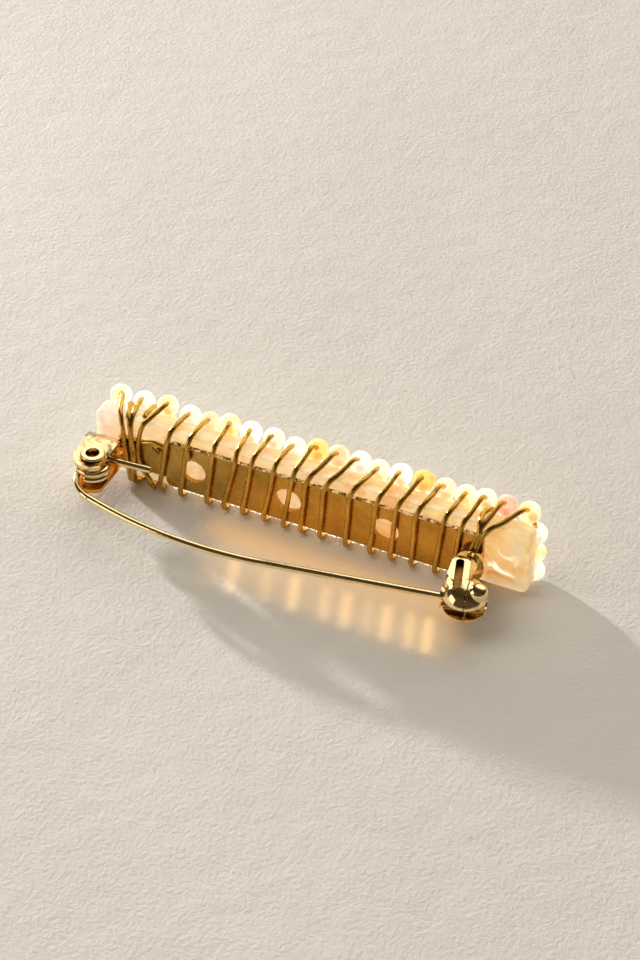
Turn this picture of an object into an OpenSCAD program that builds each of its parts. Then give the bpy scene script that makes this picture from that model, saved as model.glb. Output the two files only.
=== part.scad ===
// Bar brooch: a clear stone bar with four rows of small round beads on its front.
// One wire threads every column of beads and winds round the bar and a gilt pin back.
// The brooch lies on its long side: X runs along the bar from hinge to catch,
// -Y is the pin side, +Y the beaded front, +Z up across the bar.

/* [Stone bar] */
// Length of the bar
bar_len = 42.2; // [41.5:0.1:44]
// Height of the bar across its narrow way
bar_h = 6.55; // [6.3:0.05:6.6]
// Thickness of the bar
bar_t = 1.84; // [1.5:0.02:2.2]
// Radius of the bar's corners
bar_corner_r = 0.35; // [0.1:0.05:0.8]

/* [Beads] */
// Number of bead columns along the bar
bead_cols = 20; // [16:1:20]
// Number of bead rows across the bar
bead_rows = 4; // [3:1:4]
// Diameter of a bead
bead_d = 1.97; // [1.7:0.01:1.98]
// Distance from one bead centre to the next
bead_pitch = 2.095; // [2.09:0.005:2.1]
// Diameter of the hole through a bead
bead_hole_d = 0.7; // [0.64:0.02:0.8]

/* [Wire] */
// Diameter of the winding wire
wire_d = 0.4; // [0.3:0.01:0.42]

/* [Pin back] */
// Height of the plate across the bar
plate_h = 5; // [4.8:0.1:5.2]
// Thickness of the plate
plate_t = 0.45; // [0.4:0.05:0.45]
// Diameter of the three holes in the plate
plate_hole_d = 2.5; // [1.8:0.1:2.8]
// Distance between the holes
plate_hole_gap = 9.45; // [9:0.05:10]
// Height of the rivet's axis above the plate
rivet_y = 3.3; // [3.2:0.05:3.6]
// Outer diameter of the hollow rivet
rivet_d = 1.76; // [1.6:0.02:1.8]
// Bore of the hollow rivet
rivet_bore_d = 1.24; // [1:0.02:1.3]
// Thickness of each hinge ear
ear_t = 0.4; // [0.35:0.05:0.45]

/* [Pin] */
// Diameter of the pin's wire
pin_d = 0.65; // [0.6:0.01:0.68]
// Angle at which the pin leaves its first bend
pin_drop = 17.6; // [17:0.2:18.2]
// Slope of the pin's straight stretch towards the plate
pin_rise = 8.96; // [8.8:0.02:9.1]
// Radius of the bend beside the hinge
pin_bend_r = 3.64; // [3.5:0.02:3.8]
// Radius of the long bow
pin_bow_r = 40.15; // [39.5:0.05:40.8]

/* [Catch] */
// Diameter of the ball of the catch
ball_d = 4.06; // [3.9:0.02:4.1]
// Outer diameter of the turning sleeve
sleeve_d = 1.7; // [1.6:0.02:1.74]
// Width of the mouth that the pin leaves by
mouth_w = 1.05; // [0.95:0.05:1.1]
// Diameter of the lug that turns the catch
lug_d = 1.7; // [1.5:0.02:1.7]

/* [Hidden] */
$fn = 48;
// Gap between pieces that lie against each other
seat_gap = 0.05;
// Radial clearance of the pin's eye on the rivet and of the sleeve in its bore
run_gap = 0.05;

// Heights are counted from the middle of the plate until the last placing
bar_right = 22.7;
bar_left = bar_right - bar_len;
bar_top = 3.52;
bar_low = bar_top - bar_h;
bar_back_y = plate_t + seat_gap;
bar_front_y = bar_back_y + bar_t;

bead_r = bead_d / 2;
bead_first_x = -18.34;
bead_top_z = 3.615;
bead_low_z = bead_top_z - (bead_rows - 1) * bead_pitch;
bead_seat = 0.065;
bead_y = bar_front_y + bead_seat + bead_r;
floor_z = bead_low_z - bead_r;

// Plate: a full stretch, a narrower neck, and a channel whose two walls are the ears
plate_right = 18.6;
plate_left = -12.2;
plate_corner_r = 0.6;
neck_h = 3.2;
neck_left = -16.9;
ear_left = -19.85;
ear_right = -16.5;
ear_r = 1.75;
ear_d = 2 * ear_r;
// Share of the ear's radius at which its straight sides begin
ear_root = 0.6;
ear_in_z = 1.1;
ear_out_z = ear_in_z + ear_t;
bend_out_r = 1.3;
bend_in_r = 0.9;
rivet_x = -17.8;
// Flange of the rivet: half its thickness and the radius at which its round edge begins
rim_r = 0.14;
rim_ring_r = 0.98;

// Pin: an eye of two turns, a bend, a long bow and a straight stretch to the catch
pin_r = pin_d / 2;
eye_r = rivet_d / 2 + run_gap + pin_r;
turn_lap = 0.01;
eye_z = pin_r - turn_lap;
eye_open = 80;
tail_tilt = 4;
tail_len = 5.1;
straight_past = 0.2;
tip_len = 1.6;
tip_r = 0.06;
// Stretches of the pin overlap by a short lap, with the outer one a hair thicker
lap = 0.06;
lap_r = pin_r + 0.004;
bend_x = rivet_x - eye_r + pin_bend_r;
bow_x = bend_x + (pin_bow_r - pin_bend_r) * sin(pin_drop);
bow_y = -rivet_y + (pin_bow_r - pin_bend_r) * cos(pin_drop);
straight_x = bow_x + pin_bow_r * sin(pin_rise);
straight_y = bow_y - pin_bow_r * cos(pin_rise);

// Catch: a ball whose axis follows the pin's straight stretch
ball_r = ball_d / 2;
ball_x = 19.25;
ball_y = straight_y + (ball_x - straight_x) * tan(pin_rise);
straight_len = (ball_x - straight_x) / cos(pin_rise) + straight_past;
pin_lift = atan(eye_z / (ball_x - rivet_x));
half_gap = 0.1;
fixed_end = 0.2;
ball_cut = 1.85;
sleeve_bore_r = 0.52;
lip_r = 0.95;
lip_x = 2.1;
lip_t = 0.12;
housing_end = -1.93;
half_room = 0.15;
// Neck: a block from the ball towards the plate, tapered and rounded at its back, whose
// corners a larger ball rounds off; a stem, a collar and a foot carry it on the plate
neck_r = 1.95;
neck_left_x = -1.85;
neck_right_x = 0.1;
neck_taper_y = 0.4;
arch_x = -1.05;
arch_y = 2.75;
arch_r = 0.8;
limit_y = 2.2;
limit_r = 3.03;
stem_x = 17.8;
stem_r = 0.8;
stem_y = -2.9;
collar_r = 1.28;
collar_y = -0.85;
collar_t = 0.3;
foot = [17.95, 18.6];
foot_half = 0.9;
// Closed slot along the neck, above and below: its turn, middle, width, ends and floor
slot_turn = 17.5;
slot_x = -0.72;
slot_w = 0.72;
slot_ends = [-0.5, 3.05];
slot_floor = 1.35;
lug_at = [1.16, -0.3, 1.42];

// Box of the whole brooch, which puts the origin at the middle of its foot
low_y = bow_y - pin_bow_r - pin_r;
high_y = bead_y + bead_r;
mid_x = (min(ear_left, bar_left) + bar_right) / 2;
mid_y = (low_y + high_y) / 2;

module placed() {
    translate([-mid_x, -mid_y, -floor_z]) children();
}

// Frame of the catch: origin at the ball's centre, X along the pin
module at_ball() {
    translate([ball_x, ball_y, 0]) rotate([0, 0, pin_rise]) children();
}

module x_rod(from, to, r) {
    translate([from, 0, 0]) rotate([0, 90, 0]) cylinder(r = r, h = to - from);
}

// Rounded rectangle from one corner to the other
module soft_rect(low, high, r) {
    translate([low[0] + r, low[1]]) square([high[0] - low[0] - 2 * r, high[1] - low[1]]);
    translate([low[0], low[1] + r]) square([high[0] - low[0], high[1] - low[1] - 2 * r]);
    for (x = [low[0] + r, high[0] - r], y = [low[1] + r, high[1] - r])
        translate([x, y]) circle(r);
}

// Upright sheet whose outline is drawn in X and Z
module wall(y, t) {
    translate([0, y + t, 0]) rotate([90, 0, 0]) linear_extrude(t) children();
}

module stone_bar() {
    color("peachpuff", 0.6) placed()
        wall(bar_back_y, bar_t)
            soft_rect([bar_left, bar_low], [bar_right, bar_top], bar_corner_r);
}

// The hole goes straight through the middle rows and turns to the back at the ends
module bead(down, up) {
    difference() {
        sphere(bead_r);
        rotate([up, 0, 0]) cylinder(d = bead_hole_d, h = bead_d);
        rotate([180 - down, 0, 0]) cylinder(d = bead_hole_d, h = bead_d);
        sphere(d = bead_hole_d);
    }
}

module bead_field() {
    color("cornsilk") placed()
        for (col = [0 : bead_cols - 1], row = [0 : bead_rows - 1])
            translate([bead_first_x + col * bead_pitch, bead_y, bead_low_z + row * bead_pitch])
                bead(row == 0 ? 45 : 0, row == bead_rows - 1 ? 45 : 0);
}

// Where each turn crosses the plate: x at its upper edge, x at its lower edge
turn_x = [
    [-16.00, -15.80], [-15.35, -14.90], [-14.75, -13.90], [-11.82, -12.72],
    [-9.82, -10.63], [-7.27, -8.01], [-5.05, -6.29], [-3.49, -4.41],
    [-1.33, -2.29], [0.55, -0.37], [1.90, 1.34], [3.67, 3.21],
    [6.12, 5.70], [8.65, 8.07], [10.52, 10.08], [12.40, 12.04],
    [14.93, 14.29], [16.75, 15.90], [17.35, 16.45], [17.95, 17.00]
];
wire_r = wire_d / 2;
wire_sides = 6;
wire_gap = 0.07;
wire_back_y = -wire_gap - wire_r;
// Distance past the plate's edge at which a turn bends
wire_past = 0.2;
bead_exit = bead_r * cos(45);
// Bends inside an end bead: before its middle, and after it towards the back
bend_before = 0.2;
bend_after = 0.15;
// Bends over the bar's top: share of the way to the plate, y from the bar's back, z above it
crest = [0.3, 1.05, 0.6];
shoulder = [0.65, -0.2, 0.27];
// Turn under the bar: steps in y from the bar's back, and the drift along it
under_back = -0.75;
under_front = 0.4;
under_drift = 0.1;

// Height at which a turn lies down on the plate: lower on the narrow neck
function lie_z(col) = (turn_x[col][0] < plate_left ? neck_h : plate_h) / 2 + wire_past;

function over_top(x, xt, p) = [x + (xt - x) * p[0], bar_back_y + p[1], bar_top + p[2]];

function turn_path(col) =
    let (x = bead_first_x + col * bead_pitch, xt = turn_x[col][0], xb = turn_x[col][1])
    [
        [x, bead_y - bead_exit, bead_low_z - bead_exit],
        [x, bead_y - bend_after, bead_low_z - bend_after],
        [x, bead_y, bead_low_z + bend_before],
        [x, bead_y, bead_top_z - bend_before],
        [x, bead_y - bend_after, bead_top_z + bend_after],
        [x, bead_y - bead_exit, bead_top_z + bead_exit],
        over_top(x, xt, crest),
        over_top(x, xt, shoulder),
        [xt, wire_back_y, lie_z(col)],
        [xb, wire_back_y, -plate_h / 2 - wire_past],
        [xb, bar_back_y + under_back, floor_z + wire_r],
        [xb + under_drift, bar_back_y + under_front, floor_z + wire_r]
    ];

wire_path = [for (col = [bead_cols - 1 : -1 : 0]) each turn_path(col)];

function unit(v) = v / norm(v);
function heading(p, i) = unit(p[min(i + 1, len(p) - 1)] - p[max(i - 1, 0)]);

// Tube along a path that never runs along X
module tube(p, r, sides) {
    n = len(p);
    rings = [for (i = [0 : n - 1], k = [0 : sides - 1])
        let (t = heading(p, i), u = unit(cross(t, [1, 0, 0])), v = cross(t, u))
        p[i] + r * (cos(360 * k / sides) * u + sin(360 * k / sides) * v)];
    walls = [for (i = [0 : n - 2], k = [0 : sides - 1])
        let (a = i * sides + k, b = i * sides + (k + 1) % sides)
        each [[a, a + sides, b], [b, a + sides, b + sides]]];
    caps = [[for (k = [0 : sides - 1]) k],
            [for (k = [sides - 1 : -1 : 0]) (n - 1) * sides + k]];
    polyhedron(rings, concat(walls, caps));
}

module wrap_wire() {
    color("darkgoldenrod") placed() tube(wire_path, wire_r, wire_sides);
}

// Extrusion along X of an outline drawn in Y and Z
module along_x(from, to) {
    translate([from, 0, 0]) rotate([90, 0, 90]) linear_extrude(to - from) children();
}

// Closed end of a channel: its reach in Y, its half height and the radius of its corners
module channel_end(y, z, r) {
    open_y = -rivet_y - ear_d;
    translate([open_y, -z]) square([y - r - open_y, 2 * z]);
    translate([open_y, r - z]) square([y - open_y, 2 * (z - r)]);
    for (side = [-1, 1]) translate([y - r, side * (z - r)]) circle(r);
}

module ear_outline() {
    difference() {
        union() {
            translate([rivet_x, -rivet_y]) circle(ear_r);
            polygon([[ear_left, plate_t], [rivet_x - ear_r, -rivet_y],
                     [rivet_x, -rivet_y - ear_root * ear_r],
                     [rivet_x + ear_r, -rivet_y], [ear_right, plate_t]]);
        }
        translate([rivet_x, -rivet_y]) circle(rivet_d / 2 + seat_gap);
    }
}

module ears() {
    intersection() {
        along_x(ear_left, ear_right) difference() {
            channel_end(plate_t, ear_out_z, bend_out_r);
            channel_end(0, ear_in_z, bend_in_r);
        }
        translate([0, 0, -ear_d]) linear_extrude(2 * ear_d) ear_outline();
    }
}

module back_plate() {
    color("goldenrod") placed() {
        wall(0, plate_t) difference() {
            union() {
                soft_rect([plate_left, -plate_h / 2], [plate_right, plate_h / 2], plate_corner_r);
                translate([neck_left, -neck_h / 2])
                    square([plate_left + plate_corner_r - neck_left, neck_h]);
            }
            for (k = [-1 : 1]) translate([k * plate_hole_gap, 0]) circle(d = plate_hole_d);
        }
        ears();
    }
}

module hinge_rivet() {
    rim_z = ear_out_z + seat_gap + rim_r;
    color("gold") placed() translate([rivet_x, -rivet_y, 0]) rotate_extrude() {
        translate([rivet_bore_d / 2, -rim_z]) square([(rivet_d - rivet_bore_d) / 2, 2 * rim_z]);
        for (side = [-1, 1]) translate([0, side * rim_z]) {
            translate([rivet_bore_d / 2, -rim_r])
                square([rim_ring_r - rivet_bore_d / 2, 2 * rim_r]);
            translate([rim_ring_r, 0]) circle(rim_r);
        }
    }
}

// Arc of round wire: a ring's part from one angle to another about its centre
module wire_arc(ring_r, from, to, r = pin_r) {
    rotate([0, 0, from]) rotate_extrude(angle = to - from) translate([ring_r, 0]) circle(r);
}

function lap_angle(ring_r) = lap / ring_r * 180 / PI;

module pin_stem() {
    color("gold") placed() translate([rivet_x, -rivet_y, 0]) {
        // Two turns round the rivet, each open where the wire leaves it
        translate([0, 0, eye_z]) wire_arc(eye_r, 90 + tail_tilt, 450 + tail_tilt - eye_open);
        translate([0, 0, -eye_z]) wire_arc(eye_r, 180 + eye_open, 540);
        // Spring tail, which lies along the plate
        translate([0, 0, eye_z]) rotate([0, 0, tail_tilt]) translate([0, eye_r, 0])
            x_rod(-lap, tail_len, lap_r);
        // Bow and straight stretch, lifted to the middle of the catch
        translate([0, 0, -eye_z]) rotate([0, -pin_lift, 0]) translate([-rivet_x, rivet_y, 0]) {
            translate([bend_x, -rivet_y, 0])
                wire_arc(pin_bend_r, 180 - lap_angle(pin_bend_r),
                         270 - pin_drop + lap_angle(pin_bend_r), lap_r);
            translate([bow_x, bow_y, 0])
                wire_arc(pin_bow_r, 270 - pin_drop, 270 + pin_rise);
            translate([straight_x, straight_y, 0]) rotate([0, 0, pin_rise]) {
                x_rod(-lap, straight_len, lap_r);
                translate([straight_len, 0, 0]) rotate([0, 90, 0])
                    cylinder(r1 = lap_r, r2 = tip_r, h = tip_len);
            }
        }
    }
}

// Rectangle in a revolved outline: from and to along the axis, low and high from it
module span(from, to, low, high) {
    translate([low, from]) square([high - low, to - from]);
}

// Solid of revolution about the catch's axis
module turned() {
    at_ball() rotate([0, 90, 0]) rotate_extrude() children();
}

// Outline of the ball between two cuts
module ball_outline(from, to) {
    intersection() {
        circle(ball_r);
        span(from, to, 0, ball_d);
    }
}

// Slot along the ball's axis that the pin leaves by, on the side away from the plate
module mouth() {
    at_ball() translate([-ball_d, -ball_d, -mouth_w / 2]) cube([2 * ball_d, ball_d, mouth_w]);
}

// Round-ended strip along Y: middle, half width, and the middles of its two ends
module strip(x, half, from, to) {
    translate([x - half, from]) square([2 * half, to - from]);
    for (y = [from, to]) translate([x, y]) circle(half);
}

module neck_plan() {
    translate([arch_x, arch_y]) circle(arch_r);
    polygon([[neck_left_x, -ball_d], [neck_right_x, -ball_d], [neck_right_x, neck_taper_y],
             [arch_x + arch_r, arch_y], [neck_left_x, arch_y]]);
}

module catch_neck() {
    at_ball() intersection() {
        along_x(-ball_d, ball_d) rotate(-90) strip(0, neck_r, 0, arch_y);
        translate([0, 0, -neck_r]) linear_extrude(2 * neck_r) neck_plan();
        translate([0, limit_y, 0]) sphere(limit_r);
    }
    translate([stem_x, 0, 0]) {
        wall(stem_y, collar_y + collar_t - stem_y) circle(stem_r);
        wall(collar_y, collar_t) circle(collar_r);
    }
    translate([foot[0], collar_y, -foot_half])
        cube([foot[1] - foot[0], -collar_y - seat_gap, 2 * foot_half]);
}

module slots() {
    translate([ball_x, ball_y, 0]) rotate([0, 0, slot_turn])
        for (z = [slot_floor, -slot_floor - ball_r])
            translate([0, 0, z]) linear_extrude(ball_r)
                strip(slot_x, slot_w / 2, slot_ends[0] + slot_w / 2, slot_ends[1] - slot_w / 2);
}

module catch_housing() {
    color("khaki") placed() difference() {
        union() {
            difference() {
                catch_neck();
                // Room for the turning half, the sleeve and the sleeve's lip
                turned() difference() {
                    union() {
                        intersection() {
                            circle(ball_r + half_room);
                            span(fixed_end, ball_d, 0, ball_d);
                        }
                        span(-ball_d, ball_d, 0, sleeve_d / 2 + run_gap);
                        span(-ball_d, housing_end, 0, lip_r + half_room);
                    }
                    span(-2 * ball_d, 2 * ball_d, -ball_d, 0);
                }
            }
            turned() difference() {
                ball_outline(housing_end, fixed_end);
                span(-ball_d, ball_d, -1, sleeve_d / 2 + run_gap);
            }
        }
        mouth();
        slots();
    }
}

module catch_roller() {
    color("lemonchiffon") placed() difference() {
        union() {
            turned() difference() {
                union() {
                    ball_outline(fixed_end + half_gap, ball_cut);
                    span(-lip_x, ball_cut / 2, 0, sleeve_d / 2);
                    span(-lip_x, -lip_x + lip_t, 0, lip_r);
                }
                span(-ball_d, ball_d, -1, sleeve_bore_r);
            }
            at_ball() difference() {
                translate(lug_at) sphere(d = lug_d);
                x_rod(-ball_d, ball_d, sleeve_d / 2);
            }
        }
        mouth();
    }
}

stone_bar();
bead_field();
wrap_wire();
back_plate();
hinge_rivet();
pin_stem();
catch_housing();
catch_roller();
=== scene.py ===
import math
import random

import bmesh
import bpy
from mathutils import Matrix, Vector


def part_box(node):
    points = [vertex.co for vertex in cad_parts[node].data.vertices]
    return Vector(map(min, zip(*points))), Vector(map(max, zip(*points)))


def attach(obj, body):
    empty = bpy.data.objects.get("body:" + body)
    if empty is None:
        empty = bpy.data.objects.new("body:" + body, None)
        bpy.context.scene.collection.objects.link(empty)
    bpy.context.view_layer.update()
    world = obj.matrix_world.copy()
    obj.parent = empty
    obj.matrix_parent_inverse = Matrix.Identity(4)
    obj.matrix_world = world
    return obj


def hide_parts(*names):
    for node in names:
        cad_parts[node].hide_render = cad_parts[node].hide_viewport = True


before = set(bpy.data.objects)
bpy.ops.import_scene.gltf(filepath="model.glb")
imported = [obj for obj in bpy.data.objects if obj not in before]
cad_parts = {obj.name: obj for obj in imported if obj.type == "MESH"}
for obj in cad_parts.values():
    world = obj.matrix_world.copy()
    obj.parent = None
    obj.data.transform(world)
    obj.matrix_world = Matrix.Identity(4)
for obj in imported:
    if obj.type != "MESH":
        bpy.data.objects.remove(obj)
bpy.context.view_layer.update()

# Places are given in millimetres from the middle of the pin back's outer face:
# x towards the catch, y towards the beads, z up. at() and spot() put them in the frame, in metres.
MM = 0.001
BAR_CORNER = Vector((-19.5, 0.5, -3.03))
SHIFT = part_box("stone_bar")[0] / MM - BAR_CORNER
FLOOR_Z = -SHIFT.z
# Half of the floor's width, in metres
FLOOR_HALF = 1.5
# Corners closer than this, in metres, count as one
SAME_PLACE = 1e-7


def spot(p):
    return (Vector(p) + SHIFT) * MM


def at(x, y, z):
    return spot((x, y, z))


# Camera

# Axes of the camera, its place along right, up and back, and its lens
CAMERA_RIGHT = (0.908, 0.419, 0.0)
CAMERA_BACK = (0.319, -0.690, 0.649)
CAMERA_PLACE = (2.837, 1.823, 245.778)
LENS_MM = 103.875
SENSOR_MM = 36
# Nearest and farthest that it sees, in metres
CLIP_NEAR, CLIP_FAR = 0.01, 10


def make_camera():
    right = Vector(CAMERA_RIGHT).normalized()
    back = Vector(CAMERA_BACK).normalized()
    up = back.cross(right).normalized()
    right = up.cross(back).normalized()
    place = CAMERA_PLACE[0] * right + CAMERA_PLACE[1] * up + CAMERA_PLACE[2] * back
    camera = bpy.data.objects.new("camera", bpy.data.cameras.new("camera"))
    bpy.context.scene.collection.objects.link(camera)
    turn = Matrix((right, up, back)).transposed().to_4x4()
    camera.matrix_world = Matrix.Translation(spot(place)) @ turn
    camera.data.lens = LENS_MM
    camera.data.sensor_width = SENSOR_MM
    camera.data.clip_start = CLIP_NEAR
    camera.data.clip_end = CLIP_FAR
    bpy.context.scene.camera = camera


# Node helpers

def set_stops(ramp, stops):
    """Gives a colour ramp its (place, colour) stops."""
    while len(ramp.elements) > len(stops):
        ramp.elements.remove(ramp.elements[-1])
    while len(ramp.elements) < len(stops):
        ramp.elements.new(0.5)
    for element, (place, colour) in zip(ramp.elements, stops):
        element.position = place
        element.color = (*colour, 1)


class Nodes:
    """A material's node tree, with short calls for the nodes used here."""

    def __init__(self, name):
        self.material = bpy.data.materials.new(name)
        self.material.use_nodes = True
        self.tree = self.material.node_tree
        self.shader = next(n for n in self.tree.nodes if n.type == "BSDF_PRINCIPLED")
        self.coords = self.tree.nodes.new("ShaderNodeTexCoord")

    def link(self, a, b):
        self.tree.links.new(a, b)

    def noise(self, scale, detail, rough, stretch=(1, 1, 1), distortion=0.0):
        """Clouds of about 1 / scale metres."""
        mapping = self.tree.nodes.new("ShaderNodeMapping")
        mapping.inputs["Scale"].default_value = stretch
        self.link(self.coords.outputs["Object"], mapping.inputs["Vector"])
        node = self.tree.nodes.new("ShaderNodeTexNoise")
        node.inputs["Scale"].default_value = scale
        node.inputs["Detail"].default_value = detail
        node.inputs["Roughness"].default_value = rough
        node.inputs["Distortion"].default_value = distortion
        self.link(mapping.outputs["Vector"], node.inputs["Vector"])
        return node.outputs["Fac"]

    def along(self, axis, low, high):
        """0 to 1 between two places on one axis, given in millimetres as at() takes them."""
        split = self.tree.nodes.new("ShaderNodeSeparateXYZ")
        self.link(self.coords.outputs["Object"], split.inputs[0])
        shift = SHIFT["xyz".index(axis)]
        place = split.outputs[axis.upper()]
        return self.span(place, 0.0, 1.0, (low + shift) * MM, (high + shift) * MM)

    def ramp(self, value, stops):
        node = self.tree.nodes.new("ShaderNodeValToRGB")
        set_stops(node.color_ramp, stops)
        self.link(value, node.inputs["Fac"])
        return node.outputs["Color"]

    def span(self, value, low, high, from_low, from_high):
        """Value as low to high while it goes from from_low to from_high."""
        node = self.tree.nodes.new("ShaderNodeMapRange")
        node.inputs["From Min"].default_value = from_low
        node.inputs["From Max"].default_value = from_high
        node.inputs["To Min"].default_value = low
        node.inputs["To Max"].default_value = high
        self.link(value, node.inputs["Value"])
        return node.outputs["Result"]

    def mix(self, a, b, factor):
        node = self.tree.nodes.new("ShaderNodeMix")
        node.data_type = "RGBA"
        colours = [socket for socket in node.inputs if socket.type == "RGBA"]
        self.link(a, colours[0])
        self.link(b, colours[1])
        self.link(factor, node.inputs["Factor"])
        return next(socket for socket in node.outputs if socket.type == "RGBA")

    def calc(self, operation, *values):
        out = values[0]
        for value in values[1:]:
            node = self.tree.nodes.new("ShaderNodeMath")
            node.operation = operation
            self.link(out, node.inputs[0])
            self.link(value, node.inputs[1])
            out = node.outputs[0]
        return out

    def times(self, *values):
        return self.calc("MULTIPLY", *values)

    def bump(self, value, depth, below=None):
        node = self.tree.nodes.new("ShaderNodeBump")
        node.inputs["Distance"].default_value = depth
        node.inputs["Strength"].default_value = 1.0
        self.link(value, node.inputs["Height"])
        if below is not None:
            self.link(below, node.inputs["Normal"])
        return node.outputs["Normal"]

    def set(self, **values):
        """Sets the shader's sockets, a link or a value each, and returns the material."""
        for key, value in values.items():
            socket = self.shader.inputs[key.replace("_", " ")]
            if isinstance(value, bpy.types.NodeSocket):
                self.link(value, socket)
            else:
                socket.default_value = value
        return self.material


# Materials

def gold(name, light, dark, low_rough, high_rough, grain=0.0, dents=0.00005, pits=0.00001):
    """Gilt or brass, clouded from dark to light; grain, dents and pits are depths in metres."""
    n = Nodes(name)
    colour = n.ramp(n.noise(420, 4, 0.6), [(0.3, dark), (0.62, light)])
    rough = n.span(n.noise(900, 5, 0.65), low_rough, high_rough, 0.3, 0.7)
    normal = n.bump(n.noise(2600, 3, 0.5), pits)
    normal = n.bump(n.noise(420, 2, 0.4), dents, normal)
    if grain:
        normal = n.bump(n.noise(700, 6, 0.7, stretch=(0.35, 1, 7)), grain, normal)
    return n.set(Base_Color=colour, Metallic=1.0, Roughness=rough, Normal=normal)


def edge_glint_material():
    """The plate's long edges: rough, with bright and dark specks that paint a sparkle on them."""
    n = Nodes("gilt_edge_glints")
    specks = n.noise(2300, 3, 0.75, stretch=(1, 1, 0.6))
    colour = n.ramp(specks, [(0.42, (0.10, 0.05, 0.012)), (0.50, (0.55, 0.38, 0.16)),
                             (0.56, (1.0, 0.96, 0.86))])
    return n.set(Base_Color=colour, Metallic=1.0, Roughness=n.span(specks, 0.55, 0.25, 0.4, 0.6),
                 Normal=n.bump(specks, 0.00008))


def bead_material(name, light, dark, transmission, rough):
    """Cloudy glassy stone, with a painted glow (emission) that stands in for light from behind
    shining through it.
    """
    n = Nodes(name)
    cloud = n.noise(700, 2, 0.5, distortion=0.8)
    colour = n.ramp(cloud, [(0.40, dark), (0.56, light)])
    # Emission paints the same glow on every bead
    return n.set(Base_Color=colour, Roughness=n.span(cloud, rough, rough + 0.08, 0.3, 0.7),
                 Normal=n.bump(n.noise(700, 2, 0.5), 0.00003), Transmission_Weight=transmission,
                 IOR=1.45, Subsurface_Weight=1.0, Subsurface_Radius=(1.0, 1.0, 1.0),
                 Subsurface_Scale=0.0007, Emission_Color=colour, Emission_Strength=0.38, Alpha=0.9)


# The stone turns warm along its length, and pale at its left end
WARM = ("x", -6.0, 8.0)
PALE = ("x", -15.4, -17.6)
# Its painted caustic patches, its painted glints and its painted lit fringe come in from the first
# place to the second
CAUSTIC_PATCHES = ("y", 1.5, 0.9)
GLINT_AREA = [("x", 18.3, 19.0), ("x", 21.9, 21.0), ("z", -2.9, -1.6), ("z", 2.6, 1.9),
           ("y", 1.4, 1.0)]
LIT_FRINGE = [("z", -2.62, -2.80), ("y", 1.2, 0.9), ("x", -12.6, -12.0), ("x", 17.8, 17.0)]


def stone_material():
    """Milky stone: pale at its left end, warm and clouded along it, with painted caustic patches near
    the plate, painted glints at its right end, a painted lit fringe below the plate and a painted
    glow (emission) all over.
    """
    n = Nodes("stone")
    cloud = n.noise(300, 4, 0.6, stretch=(0.55, 1.4, 1.4), distortion=1.5)
    left = n.ramp(cloud, [(0.36, (0.96, 0.65, 0.36)), (0.46, (0.96, 0.73, 0.45)),
                          (0.56, (0.97, 0.80, 0.53)), (0.64, (1.0, 0.92, 0.66))])
    right = n.ramp(cloud, [(0.36, (0.92, 0.60, 0.27)), (0.46, (0.93, 0.68, 0.34)),
                           (0.56, (0.95, 0.75, 0.41)), (0.64, (1.0, 0.90, 0.54))])
    body = n.mix(left, right, n.along(*WARM))
    # Painted caustics: bright patches near the plate, where light through the beads would fall
    caustic_cloud = n.noise(560, 2, 0.5, distortion=0.8)
    body = n.mix(body, n.ramp(caustic_cloud, [(0.4, (1.0, 0.84, 0.46)), (0.6, (1.0, 0.94, 0.70))]),
                 n.times(n.along(*CAUSTIC_PATCHES), n.span(caustic_cloud, 0.0, 1.0, 0.43, 0.57)))
    # Painted glints keep to the middle of the part of the back that the plate leaves free; the
    # brightest also glow
    glint_cloud = n.noise(430, 2, 0.5, distortion=1.0)
    painted_glints = n.ramp(glint_cloud, [(0.34, (0.70, 0.42, 0.08)), (0.41, (1.0, 0.78, 0.30)),
                            (0.47, (0.98, 0.85, 0.48)), (0.54, (1.0, 0.90, 0.64)),
                            (0.60, (1.0, 0.99, 0.90))])
    glint_area_mask = n.times(*[n.along(*limit) for limit in GLINT_AREA])
    glint_glow = n.times(glint_area_mask, n.span(glint_cloud, 0.0, 1.0, 0.53, 0.60))
    pale = n.ramp(cloud, [(0.38, (0.86, 0.70, 0.58)), (0.52, (0.90, 0.80, 0.70)),
                          (0.62, (0.92, 0.88, 0.81))])
    colour = n.mix(n.mix(body, painted_glints, glint_area_mask), pale, n.along(*PALE))
    # Painted light: a bright fringe below the plate, as if the stone's lower back edge caught the
    # light; it also glows
    fringe_cloud = n.noise(1700, 3, 0.7)
    lit_fringe = n.times(*[n.along(*limit) for limit in LIT_FRINGE], n.span(fringe_cloud, 0.0, 1.0, 0.40, 0.55))
    colour = n.mix(colour, n.ramp(fringe_cloud, [(0.4, (1.0, 0.80, 0.58)), (0.6, (1.0, 0.98, 0.94))]), lit_fringe)
    normal = n.bump(n.noise(160, 2, 0.4), 0.00010)
    normal = n.bump(n.noise(1500, 3, 0.6), 0.000006, normal)
    # Painted glow: emission all over the stone, stronger at the lit fringe and the glints, stands in
    # for light shining through it
    glow = n.span(n.calc("ADD", lit_fringe, glint_glow), 0.18, 0.8, 0.0, 1.0)
    return n.set(Base_Color=colour, Roughness=n.span(cloud, 0.10, 0.24, 0.3, 0.7), Normal=normal,
                 Transmission_Weight=0.45, IOR=1.45, Subsurface_Weight=1.0,
                 Subsurface_Radius=(1.0, 1.0, 1.0), Subsurface_Scale=0.0012,
                 Emission_Color=colour, Emission_Strength=glow, Alpha=0.86)


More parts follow.
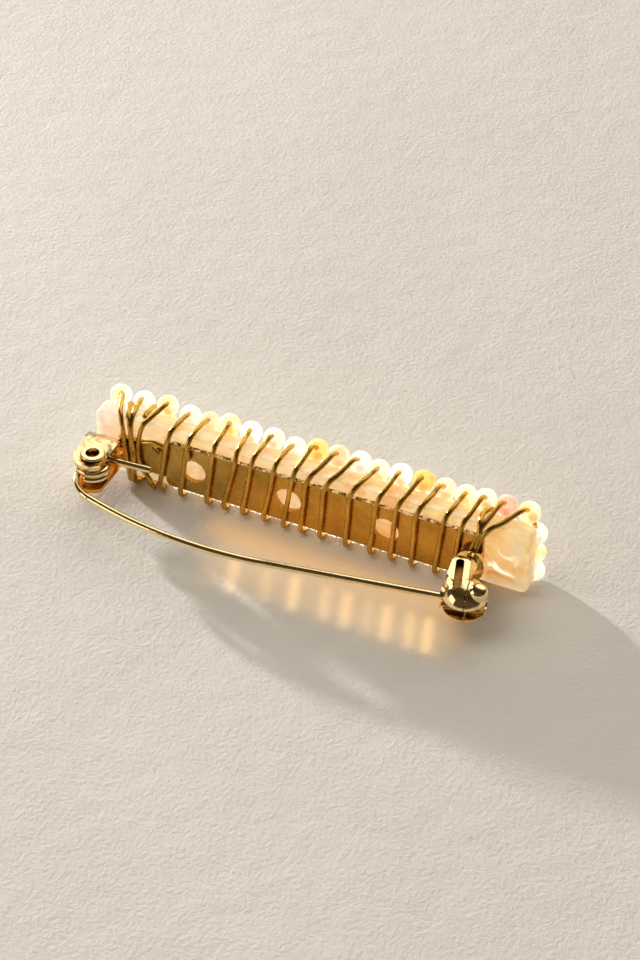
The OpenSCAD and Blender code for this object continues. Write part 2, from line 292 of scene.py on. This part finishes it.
def floor_material():
    """Pale rough paper: fine grain, small lumps and broad waves."""
    n = Nodes("floor")
    colour = n.ramp(n.noise(16, 5, 0.6), [(0.3, (0.62, 0.59, 0.55)), (0.7, (0.68, 0.65, 0.61))])
    normal = n.bump(n.noise(2300, 5, 0.66), 0.00010)
    normal = n.bump(n.noise(420, 4, 0.55), 0.00009, normal)
    normal = n.bump(n.noise(60, 3, 0.5), 0.00022, normal)
    return n.set(Base_Color=colour, Roughness=0.85, Normal=normal)


# Shape helpers

def finish_mesh(name, bm, materials):
    mesh = bpy.data.meshes.new(name)
    bm.to_mesh(mesh)
    bm.free()
    for material in materials:
        mesh.materials.append(material)
    for polygon in mesh.polygons:
        polygon.use_smooth = True
    obj = bpy.data.objects.new(name, mesh)
    bpy.context.scene.collection.objects.link(obj)
    return obj


# Least distance that two points of a line are taken to be apart
LEAST = 1e-6


def curve_through(points, steps):
    """Smooth line through the points: a centripetal spline, which makes no loops of its own."""
    p = [Vector(q) for q in points]
    p = [2 * p[0] - p[1]] + p + [2 * p[-1] - p[-2]]
    out = []
    for a, b, c, d in zip(p, p[1:], p[2:], p[3:]):
        t1 = max((b - a).length, LEAST) ** 0.5
        t2 = t1 + max((c - b).length, LEAST) ** 0.5
        t3 = t2 + max((d - c).length, LEAST) ** 0.5
        for k in range(steps):
            t = t1 + (t2 - t1) * k / steps
            ab = a.lerp(b, t / t1)
            bc = b.lerp(c, (t - t1) / (t2 - t1))
            cd = c.lerp(d, (t - t2) / (t3 - t2))
            abc = ab.lerp(bc, t / t2)
            bcd = bc.lerp(cd, (t - t1) / (t3 - t1))
            out.append(abc.lerp(bcd, (t - t1) / (t2 - t1)))
    out.append(p[-2])
    return out


def add_tube(bm, points, radius, sides=10, tip=0.35):
    """Tube along points in millimetres, with blunt ends that stand out by a share of the radius."""
    last = len(points) - 1
    tangents = [(points[min(i + 1, last)] - points[max(i - 1, 0)]).normalized()
                for i in range(last + 1)]
    turns = [2 * math.pi * k / sides for k in range(sides)]
    side = tangents[0].orthogonal().normalized()
    rings = []
    for point, tangent in zip(points, tangents):
        side = (side - tangent * side.dot(tangent)).normalized()
        other = tangent.cross(side)
        ring = [point + radius * (math.cos(a) * side + math.sin(a) * other) for a in turns]
        rings.append([bm.verts.new(spot(p)) for p in ring])
    for ring, following in zip(rings, rings[1:]):
        for k in range(sides):
            m = (k + 1) % sides
            bm.faces.new((ring[k], ring[m], following[m], following[k]))
    for end, sign in ((0, -1), (last, 1)):
        ring = rings[end]
        cap = bm.verts.new(spot(points[end] + sign * tangents[end] * radius * tip))
        for k in range(sides):
            m = (k + 1) % sides
            bm.faces.new((ring[k], ring[m], cap) if sign > 0 else (ring[m], ring[k], cap))


# Beads

BEAD_R = 1.02
BEAD_HOLE_R = 0.34
# The hole's wall from its upper to its lower end, as shares of its radius and of its half length
HOLE_PROFILE = [(0.86, 0.96), (0.8, 0.5), (0.8, -0.5), (0.86, -0.96)]
BEAD_Y = 3.39
BEAD_ROWS = 4
# The lowest row's columns are even, and the top row's places are their own
FIRST_X = -18.34
PITCH = 2.095
TOP_X = [-18.34, -15.96, -13.55, -11.28, -9.33, -7.33, -5.19, -2.96, -0.86, 1.35,
         3.34, 5.50, 7.26, 9.40, 11.54, 13.61, 15.58, 17.39, 19.34, 21.47]
TOP_Z = [3.40, 3.42, 3.75, 3.34, 3.24, 3.68, 3.56, 3.56, 3.23, 3.78,
         3.75, 3.80, 3.48, 3.78, 3.80, 3.61, 3.57, 3.78, 3.78, 3.78]
LOW_Z = -2.67
# The lower beads of the last column stand further out
LAST_X = 22.2
# How much the middle rows' beads stray, how much beads differ in size, and how flat they may be
SCATTER_X = (-0.05, 0.05)
SCATTER_Y = (-0.03, 0.05)
BEAD_SIZES = (0.985, 1.0)
SQUEEZE = (0.96, 1.0)
# Gap that keeps the lowest beads off the floor
FLOOR_GAP = 0.003
# The end beads' holes lean to the back, where the wire leaves them, and the others a little anyhow
END_LEAN = 0.6
SMALL_LEAN = 0.12
# Light and dark colour, transmission and roughness of each kind of bead
TINTS = {
    "white": ((1.0, 0.97, 0.92), (1.0, 0.85, 0.64), 0.40, 0.10),
    "clear": ((1.0, 0.98, 0.95), (1.0, 0.84, 0.60), 0.75, 0.05),
    "lemon": ((1.0, 0.97, 0.80), (1.0, 0.80, 0.34), 0.45, 0.08),
    "honey": ((1.0, 0.84, 0.46), (1.0, 0.68, 0.26), 0.50, 0.08),
    "amber": ((1.0, 0.76, 0.26), (1.0, 0.55, 0.10), 0.50, 0.08),
    "peach": ((1.0, 0.82, 0.62), (1.0, 0.68, 0.42), 0.45, 0.10),
    "salmon": ((1.0, 0.66, 0.50), (1.0, 0.48, 0.34), 0.40, 0.10),
}
TOP_TINTS = ["lemon", "white", "lemon", "white", "peach", "lemon", "clear",
             "white", "white", "amber", "peach", "white", "lemon", "clear",
             "amber", "peach", "lemon", "lemon", "salmon", "lemon"]
# The other rows draw from these
LOWER_TINTS = ["white", "white", "clear", "lemon", "lemon", "honey", "amber", "peach", "salmon",
               "white"]


def bead_shape(bm, centre, radius, axis, squeeze, tint, around=20, along=9):
    """Round bead with a softly flared hole along its axis."""
    axis = axis.normalized()
    u = axis.orthogonal().normalized()
    v = axis.cross(u)
    half = math.acos(BEAD_HOLE_R / radius)
    angles = [-half + 2 * half * i / along for i in range(along + 1)]
    profile = [(radius * math.cos(a), squeeze * radius * math.sin(a)) for a in angles]
    top = profile[-1][1]
    profile += [(BEAD_HOLE_R * width, top * height) for width, height in HOLE_PROFILE]
    turns = [2 * math.pi * k / around for k in range(around)]
    rings = [[bm.verts.new(spot(centre + axis * h + r * (math.cos(a) * u + math.sin(a) * v)))
              for a in turns] for r, h in profile]
    for ring, following in zip(rings, rings[1:] + rings[:1]):
        for k in range(around):
            m = (k + 1) % around
            bm.faces.new((ring[k], ring[m], following[m], following[k])).material_index = tint


def make_beads():
    """All beads as one object, and the middle of each, by column and row."""
    rng = random.Random(7)
    bm = bmesh.new()
    spots = []
    top_row = BEAD_ROWS - 1
    last_col = len(TOP_X) - 1
    for col in range(len(TOP_X)):
        column = []
        for row in range(BEAD_ROWS):
            share = row / top_row
            x = TOP_X[col] * share + (FIRST_X + col * PITCH) * (1 - share)
            y = BEAD_Y
            z = LOW_Z + (TOP_Z[col] - LOW_Z) * share
            if 0 < row < top_row:
                x += rng.uniform(*SCATTER_X)
                y += rng.uniform(*SCATTER_Y)
            if col == last_col and row < top_row:
                x = LAST_X
            radius = BEAD_R * rng.uniform(*BEAD_SIZES)
            if row == 0:
                z = FLOOR_Z + radius + FLOOR_GAP
            # Both leans are drawn for every bead, also where the first gives way
            lean_back = -rng.uniform(-SMALL_LEAN, SMALL_LEAN)
            lean_side = rng.uniform(-SMALL_LEAN, SMALL_LEAN)
            lean_back = {0: END_LEAN, top_row: -END_LEAN}.get(row, lean_back)
            axis = Vector((lean_side, math.sin(lean_back), math.cos(lean_back)))
            name = TOP_TINTS[col] if row == top_row else rng.choice(LOWER_TINTS)
            centre = Vector((x, y, z))
            bead_shape(bm, centre, radius, axis, rng.uniform(*SQUEEZE), list(TINTS).index(name))
            column.append(centre)
        spots.append(column)
    bmesh.ops.recalc_face_normals(bm, faces=bm.faces)
    materials = [bead_material("bead_" + name, *look) for name, look in TINTS.items()]
    return finish_mesh("beads", bm, materials), spots


# Wire

WIRE_R = 0.235
# Stretches of the tube between two points of the winding, and of a loose strand
TURN_STEPS = 5
STRAND_STEPS = 6
# Bends at the end beads: inside the lowest one and the top one, how far back and up the wire comes
# out of the top one, and where it enters the next column's lowest one
IN_LOW = Vector((0, 0, 0.1))
IN_TOP = Vector((0, -0.05, 0.1))
OUT_OF_TOP = 0.62
INTO_LOW = Vector((0, -0.6, -0.5))
# Over the bar's top to the plate: share of the step sideways and y, at the crest, on the slope and
# at the shoulder. The crest clears the bead's middle by a gap, and the shoulder is lower on the neck.
OVER = [(0.2, 1.95), (0.45, 0.95), (0.72, 0.22)]
CREST_Z, SLOPE_Z, SHOULDER_Z, NECK_SHOULDER_Z = 4.0, 3.92, 3.62, 3.5
CREST_GAP = 0.45
NECK_Z = 2
# The wire's middle where it lies on the plate, and a little further out half way down
ON_PLATE_Y = -0.27
MIDDLE_OUT = 0.015
# A turn lies down START_Z above the plate's upper edge. Half way down it is at half of that edge's
# height plus MIDDLE_Z, and it comes to the lower edge at END_Z.
START_Z, MIDDLE_Z, END_Z = 0.15, -1.3, -2.45
# Round the plate's lower edge: step in x, y and z
ROUND_EDGE = [(0.0, -0.24, -2.80), (0.0, 0.02, -3.16), (0.02, 0.5, -3.30)]
# Under the bar: share of the step to the next column, y and z
UNDER_BAR = [(0.5, 1.3, -3.32), (1.0, 2.45, -3.36)]
# x where the wire leaves a top bead, x and z at the plate's upper edge, x at its lower edge
TURNS = [
    (-17.86, -16.17, 1.40, -15.80), (-15.96, -15.50, 1.90, -15.30), (-13.38, -14.85, 0.90, -13.65),
    (-11.21, -11.82, 2.67, -12.72), (-9.33, -9.82, 2.67, -10.63), (-7.08, -7.27, 2.67, -8.01),
    (-5.05, -5.05, 2.67, -6.29), (-3.03, -3.49, 2.67, -4.41), (-0.88, -1.33, 2.67, -2.29),
    (1.07, 0.55, 2.67, -0.37), (3.21, 1.90, 2.67, 1.34), (5.18, 3.67, 2.67, 3.21),
    (7.33, 6.12, 2.67, 5.70), (9.41, 8.65, 2.67, 8.07), (11.44, 10.52, 2.67, 10.08),
    (13.31, 12.40, 2.67, 12.04), (15.62, 14.93, 2.67, 14.29), (17.28, 16.59, 2.73, 15.90),
    (19.07, 18.15, 2.60, 16.45), (21.14, 18.50, 2.50, 17.00),
]
# Share of its slant that a turn has taken half way down the plate; the third turn takes less
SLANT = 0.5
THIRD, THIRD_SLANT = 2, 0.2
# The wire's last end, under the bar
WIRE_END = Vector((-16.4, 0.7, -3.3))
# Two more lashing strands, one at each end of the bar, with their ends tucked between beads.
# Then the loose ends: one on the bar's top, three beside the plate's first turns.
STRANDS = [
    [(-16.72, 2.7, 3.3), (-16.72, 2.1, 3.86), (-16.4, 1.1, 3.93), (-15.85, 0.2, 3.6),
     (-15.4, -0.32, 2.0), (-15.06, -0.66, 0.3), (-15.2, -0.66, -1.4), (-15.36, -0.35, -2.75),
     (-15.34, 0.0, -3.2), (-15.2, 0.5, -3.33), (-15.1, 1.3, -3.35), (-15.1, 2.2, -3.3)],
    [(18.35, 2.9, 3.3), (18.3, 2.4, 3.80), (17.95, 1.5, 3.90), (18.1, 0.4, 3.82),
     (18.32, -0.2, 3.1), (18.16, -0.28, 2.1), (17.75, -0.28, 1.2), (17.5, -0.28, -0.8),
     (17.3, -0.27, -2.7), (17.3, 0.0, -3.2), (17.4, 0.5, -3.33), (17.5, 1.3, -3.35),
     (17.6, 2.2, -3.3)],
    [(-14.68, 3.0, 3.55), (-14.69, 2.6, 3.74), (-14.70, 2.1, 3.77), (-14.74, 1.5, 3.77),
     (-14.71, 1.05, 3.74)],
    [(-14.3, -0.27, 1.9), (-13.5, -0.27, 2.2), (-12.7, -0.27, 2.3), (-12.3, -0.27, 2.2)],
    [(-13.4, -0.27, 1.7), (-13.0, -0.28, 1.4), (-12.7, -0.28, 1.2)],
    [(-9.85, -0.05, 2.75), (-9.78, -0.27, 2.3), (-9.72, -0.28, 1.5)],
]


def turn_points(col, beads):
    """One turn of the wire, from a column's lowest bead to the next column's."""
    exit_x, up_x, up_z, low_x = TURNS[col]
    low, second, third, top = beads[col]
    through_beads = [low + IN_LOW, second, third, top + IN_TOP,
                     Vector((exit_x, top.y - OUT_OF_TOP, top.z + OUT_OF_TOP))]
    heights = [max(CREST_Z, top.z + CREST_GAP), SLOPE_Z,
               SHOULDER_Z if up_z > NECK_Z else NECK_SHOULDER_Z]
    over_top = [Vector((exit_x + (up_x - exit_x) * share, y, z))
                for (share, y), z in zip(OVER, heights)]
    middle_x = up_x + (low_x - up_x) * (THIRD_SLANT if col == THIRD else SLANT)
    down_plate = [Vector((up_x, ON_PLATE_Y, up_z + START_Z)),
                  Vector((middle_x, ON_PLATE_Y - MIDDLE_OUT, up_z * 0.5 + MIDDLE_Z)),
                  Vector((low_x, ON_PLATE_Y, END_Z))]
    round_edge = [Vector((low_x + x, y, z)) for x, y, z in ROUND_EDGE]
    turn = through_beads + over_top + down_plate + round_edge
    if col == 0:
        return turn + [WIRE_END]
    following = beads[col - 1][0]
    under_bar = [Vector((low_x + (following.x - low_x) * share, y, z))
                 for share, y, z in UNDER_BAR]
    return turn + under_bar + [following + INTO_LOW]


def make_wire(material, beads):
    bm = bmesh.new()
    path = [point for col in reversed(range(len(TURNS))) for point in turn_points(col, beads)]
    add_tube(bm, curve_through(path, TURN_STEPS), WIRE_R)
    for points in STRANDS:
        add_tube(bm, curve_through(points, STRAND_STEPS), WIRE_R)
    return finish_mesh("winding", bm, [material])


# Bar

CORNER_R = 0.75
CORNER_STEPS = 8
RIM_R = 0.22
RIM_STEPS = 4
# A face counts as front or back where its normal's y is over this
FACING = 0.9
# Chips along the lower back edge, which with the stone's painted lit fringe show as a bright fringe
# below the plate: where they lie, their scatter, size and distance, and how far their corners are
# pushed about
CHIP_X = (-12.0, 16.8)
CHIP_Y, CHIP_Z = 0.52, -3.0
CHIP_SCATTER_Y = (-0.03, 0.08)
CHIP_SCATTER_Z = (0.0, 0.06)
CHIP_R = (0.05, 0.13)
CHIP_STEP = (0.10, 0.26)
CHIP_ROUGHNESS = 0.3


def make_bar(material):
    low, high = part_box("stone_bar")
    bm = bmesh.new()
    bmesh.ops.create_cube(bm, size=1)
    for v in bm.verts:
        v.co = Vector(((low[i] + high[i]) / 2 + v.co[i] * (high[i] - low[i]) for i in range(3)))

    def depth(e):
        return abs(e.verts[0].co.y - e.verts[1].co.y)

    upright = [e for e in bm.edges if depth(e) > SAME_PLACE]
    bmesh.ops.bevel(bm, geom=upright, offset=CORNER_R * MM, segments=CORNER_STEPS, profile=0.5,
                    affect="EDGES")
    rims = [e for e in bm.edges if depth(e) < SAME_PLACE
            and any(abs(f.normal.y) > FACING for f in e.link_faces)]
    bmesh.ops.bevel(bm, geom=rims, offset=RIM_R * MM, segments=RIM_STEPS, profile=0.5,
                    affect="EDGES")
    rng = random.Random(3)
    x, end = CHIP_X
    while x < end:
        size = rng.uniform(*CHIP_R)
        place = at(x, CHIP_Y + rng.uniform(*CHIP_SCATTER_Y), CHIP_Z - rng.uniform(*CHIP_SCATTER_Z))
        angle = rng.uniform(0, 3)
        turn = Matrix.Rotation(angle, 4, Vector((1, rng.random(), rng.random())).normalized())
        place = Matrix.Translation(place)
        made = bmesh.ops.create_icosphere(bm, subdivisions=1, radius=size * MM, matrix=place @ turn)
        for v in made["verts"]:
            push = Vector((rng.uniform(-1, 1), rng.uniform(-1, 1), rng.uniform(-1, 1)))
            v.co += push * CHIP_ROUGHNESS * size * MM
        x += rng.uniform(*CHIP_STEP)
    return finish_mesh("gem_bar", bm, [material])


# Metal parts

# Edges that turn by more than this are rounded
SHARP = math.radians(35)
# The plate's looks, and where its faces change from one to the next: at the ears and their neck, at
# the lower ear and at the speckled long edges
SHADED_SATIN, WORN, GLINT_EDGE, WARM_REFLECTION = range(4)
EAR_X = -16.45
FACE_Y = -0.02
LOWER_EAR_Z = -1.0
EDGE_Z = 2.41
# The catch's looks, the middle of its ball, how far its neck is turned, and where the neck's slots
# lie across it, along it and out from it
BRIGHT, SLOT_SHADE = range(2)
BALL_X, BALL_Y = 19.25, -5.42
NECK_TURN = math.radians(17.5)
SLOT_MIDDLE, SLOT_HALF = -0.72, 0.375
SLOT_ALONG = (-0.52, 3.07)
SLOT_Z = (1.3, 1.93)


def plate_part(c):
    """The ears are polished and worn; the plate is brushed and darker, partly painted shade; its long
    edges are rough, with painted sparkle; the lower ear's amber is a painted reflection of the warm
    glow on the floor.
    """
    if c.x < EAR_X or c.y < FACE_Y:
        return WORN if c.z > LOWER_EAR_Z else WARM_REFLECTION
    return GLINT_EDGE if abs(c.z) > EDGE_Z else SHADED_SATIN


def catch_part(c):
    """The closed slots in the neck get dark gilt: painted shade inside them."""
    x, y = c.x - BALL_X, c.y - BALL_Y
    across = x * math.cos(NECK_TURN) + y * math.sin(NECK_TURN)
    along = y * math.cos(NECK_TURN) - x * math.sin(NECK_TURN)
    inside = (abs(across - SLOT_MIDDLE) < SLOT_HALF and SLOT_ALONG[0] < along < SLOT_ALONG[1]
              and SLOT_Z[0] < abs(c.z) < SLOT_Z[1])
    return SLOT_SHADE if inside else BRIGHT


def dress(node, materials, bevel, choose=lambda centre: 0):
    """Gives a CAD piece its materials, by the middle of each face, and rounds its sharp edges."""
    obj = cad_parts[node]
    obj.data.materials.clear()
    for material in materials:
        obj.data.materials.append(material)
    for polygon in obj.data.polygons:
        polygon.material_index = choose(polygon.center / MM - SHIFT)
    weld = obj.modifiers.new("weld", "WELD")
    weld.merge_threshold = SAME_PLACE
    rounding = obj.modifiers.new("edge", "BEVEL")
    rounding.width = bevel * MM
    rounding.segments = 2
    rounding.limit_method = "ANGLE"
    rounding.angle_limit = SHARP


# Light

# The sky is one broad bright patch behind and above, and dark elsewhere, as a window in a room
SKY_MIDDLE = (0.05, 0.75, 0.65)
SKY = [(0.40, (0.12, 0.09, 0.06)), (0.62, (0.06, 0.038, 0.018)), (0.84, (0.12, 0.10, 0.08)),
       (0.93, (2.2, 2.12, 1.95))]
SKY_STRENGTH = 0.66
# What the lamps light, and each lamp's place from there, in metres, with its size, power and colour
LIT_PLACE = at(1.5, 0, 0)
KEY = ((-0.495, 0.215, 0.088), 0.025, 4.9, (1.0, 0.98, 0.94))
FILL = ((-0.4, -0.25, 0.8), 0.7, 3.6, (1.0, 0.94, 0.82))
# A pale card to the left of the camera, for the metal to mirror
CARD = ((-0.26, -0.19, 0.085), 0.22, 0.17, (1.0, 0.92, 0.78))
CARD_HEIGHT = 0.15
# Warm light that the stones throw on the floor beside the pin: x, y, height above the floor, size
# in x and y, power, colour, turn and spread in degrees
WASH = (7.0, -6.2, 1.8, 24.0, 5.0, 0.00018, (1.0, 0.56, 0.13), -3.0, 140.0)
GLOW = (5.5, -2.6, 1.6, 25.0, 2.4, 0.00013, (1.0, 0.44, 0.03), -2.0, 140.0)
# Streaks where it falls between the stones: x and strength of each, and what all have in common
STREAKS = [(-2.0, 0.8), (1.2, 0.4), (3.9, 1.0), (6.9, 0.7), (8.9, 1.0), (10.9, 0.35), (12.7, 1.0),
           (14.9, 0.8), (16.6, 1.2)]
STREAK_PLACE = (-7.2, 1.0)
STREAK_SIZE = (0.8, 4.4)
STREAK_POWER = 0.0000072
STREAK_COLOUR = (1.0, 0.60, 0.22)
STREAK_TURN, STREAK_SPREAD = 19.0, 85.0


def make_sky():
    world = bpy.data.worlds.new("studio")
    bpy.context.scene.world = world
    world.use_nodes = True
    tree = world.node_tree
    facing = tree.nodes.new("ShaderNodeVectorMath")
    facing.operation = "DOT_PRODUCT"
    facing.inputs[1].default_value = Vector(SKY_MIDDLE).normalized()
    tree.links.new(tree.nodes.new("ShaderNodeTexCoord").outputs["Generated"], facing.inputs[0])
    share = tree.nodes.new("ShaderNodeMapRange")
    share.inputs["From Min"].default_value = -1.0
    tree.links.new(facing.outputs["Value"], share.inputs["Value"])
    sky = tree.nodes.new("ShaderNodeValToRGB")
    set_stops(sky.color_ramp, SKY)
    tree.links.new(share.outputs["Result"], sky.inputs["Fac"])
    tree.links.new(sky.outputs["Color"], tree.nodes["Background"].inputs["Color"])
    tree.nodes["Background"].inputs["Strength"].default_value = SKY_STRENGTH


def area_light(name, place, target, size, power, colour, size_y=None):
    """A round lamp, or an oblong one where size_y is given."""
    data = bpy.data.lights.new(name, "AREA")
    data.shape = "RECTANGLE" if size_y else "DISK"
    data.size = size
    if size_y:
        data.size_y = size_y
    data.energy = power
    data.color = colour
    light = bpy.data.objects.new(name, data)
    bpy.context.scene.collection.objects.link(light)
    light.location = place
    light.rotation_euler = (Vector(target) - Vector(place)).to_track_quat("-Z", "Y").to_euler()
    return light


def lamp(name, look, size_y=None):
    offset, size, power, colour = look
    return area_light(name, LIT_PLACE + Vector(offset), LIT_PLACE, size, power, colour, size_y)


def floor_light(floor_only, name, x, y, height, size_x, size_y, power, colour, turn, spread):
    """Light that falls straight down on the floor alone, from just above it."""
    place, target = at(x, y, FLOOR_Z + height), at(x, y, FLOOR_Z)
    light = area_light(name, place, target, size_x * MM, power, colour, size_y * MM)
    light.data.spread = math.radians(spread)
    light.rotation_euler = (0.0, 0.0, math.radians(turn))
    light.light_linking.receiver_collection = floor_only
    light.light_linking.blocker_collection = floor_only
    light.visible_camera = light.visible_glossy = light.visible_transmission = False


def make_lights(floor):
    lamp("key", KEY)
    lamp("fill", FILL).visible_glossy = False
    lamp("card", CARD, CARD_HEIGHT)
    floor_only = bpy.data.collections.new("floor_only")
    floor_only.objects.link(floor)
    floor_light(floor_only, "wash", *WASH)
    floor_light(floor_only, "glow", *GLOW)
    for x, strength in STREAKS:
        floor_light(floor_only, "streak", x, *STREAK_PLACE, *STREAK_SIZE, STREAK_POWER * strength,
                    STREAK_COLOUR, STREAK_TURN, STREAK_SPREAD)


# Everything together

make_camera()

floor_bm = bmesh.new()
bmesh.ops.create_grid(floor_bm, x_segments=2, y_segments=2, size=FLOOR_HALF)
floor = finish_mesh("floor", floor_bm, [floor_material()])

make_sky()
make_lights(floor)

bright = gold("gilt_bright", (1.0, 0.82, 0.47), (0.94, 0.70, 0.34), 0.07, 0.15)
# The plate's brushed gilt is darker than the rest: partly its own finish, partly painted shade
shaded_satin = gold("gilt_satin_shaded", (0.62, 0.36, 0.07), (0.46, 0.245, 0.04), 0.20, 0.34, grain=0.00001)
worn = gold("gilt_worn", (0.98, 0.77, 0.42), (0.66, 0.46, 0.20), 0.08, 0.18, dents=0.0008)
# Amber-tinted gilt for the lower ear: a painted reflection of the warm glow on the floor
amber = gold("gilt_warm_reflection", (1.0, 0.46, 0.07), (0.62, 0.22, 0.02), 0.15, 0.28, dents=0.0004)
# Bright and dark specks paint a sparkle on the plate's long edges
edge = edge_glint_material()
# Dark gilt painted into the closed slots as their shade
slot_shade = gold("gilt_slot_shade", (0.34, 0.16, 0.03), (0.10, 0.04, 0.01), 0.25, 0.45)
wire = gold("wire_brass", (0.70, 0.43, 0.085), (0.44, 0.25, 0.04), 0.22, 0.34, dents=0.000004,
            pits=0.000001)

beads, bead_spots = make_beads()
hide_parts("bead_field")
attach(beads, "bar")

winding = make_wire(wire, bead_spots)
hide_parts("wrap_wire")
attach(winding, "bar")

bar = make_bar(stone_material())
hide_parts("stone_bar")
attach(bar, "bar")

dress("back_plate", [shaded_satin, worn, edge, amber], bevel=0.05, choose=plate_part)
dress("hinge_rivet", [bright], bevel=0.03)
dress("pin_stem", [bright], bevel=0.01)
dress("catch_housing", [bright, slot_shade], bevel=0.05, choose=catch_part)
dress("catch_roller", [bright], bevel=0.05)

bpy.context.scene.view_settings.view_transform = "Standard"
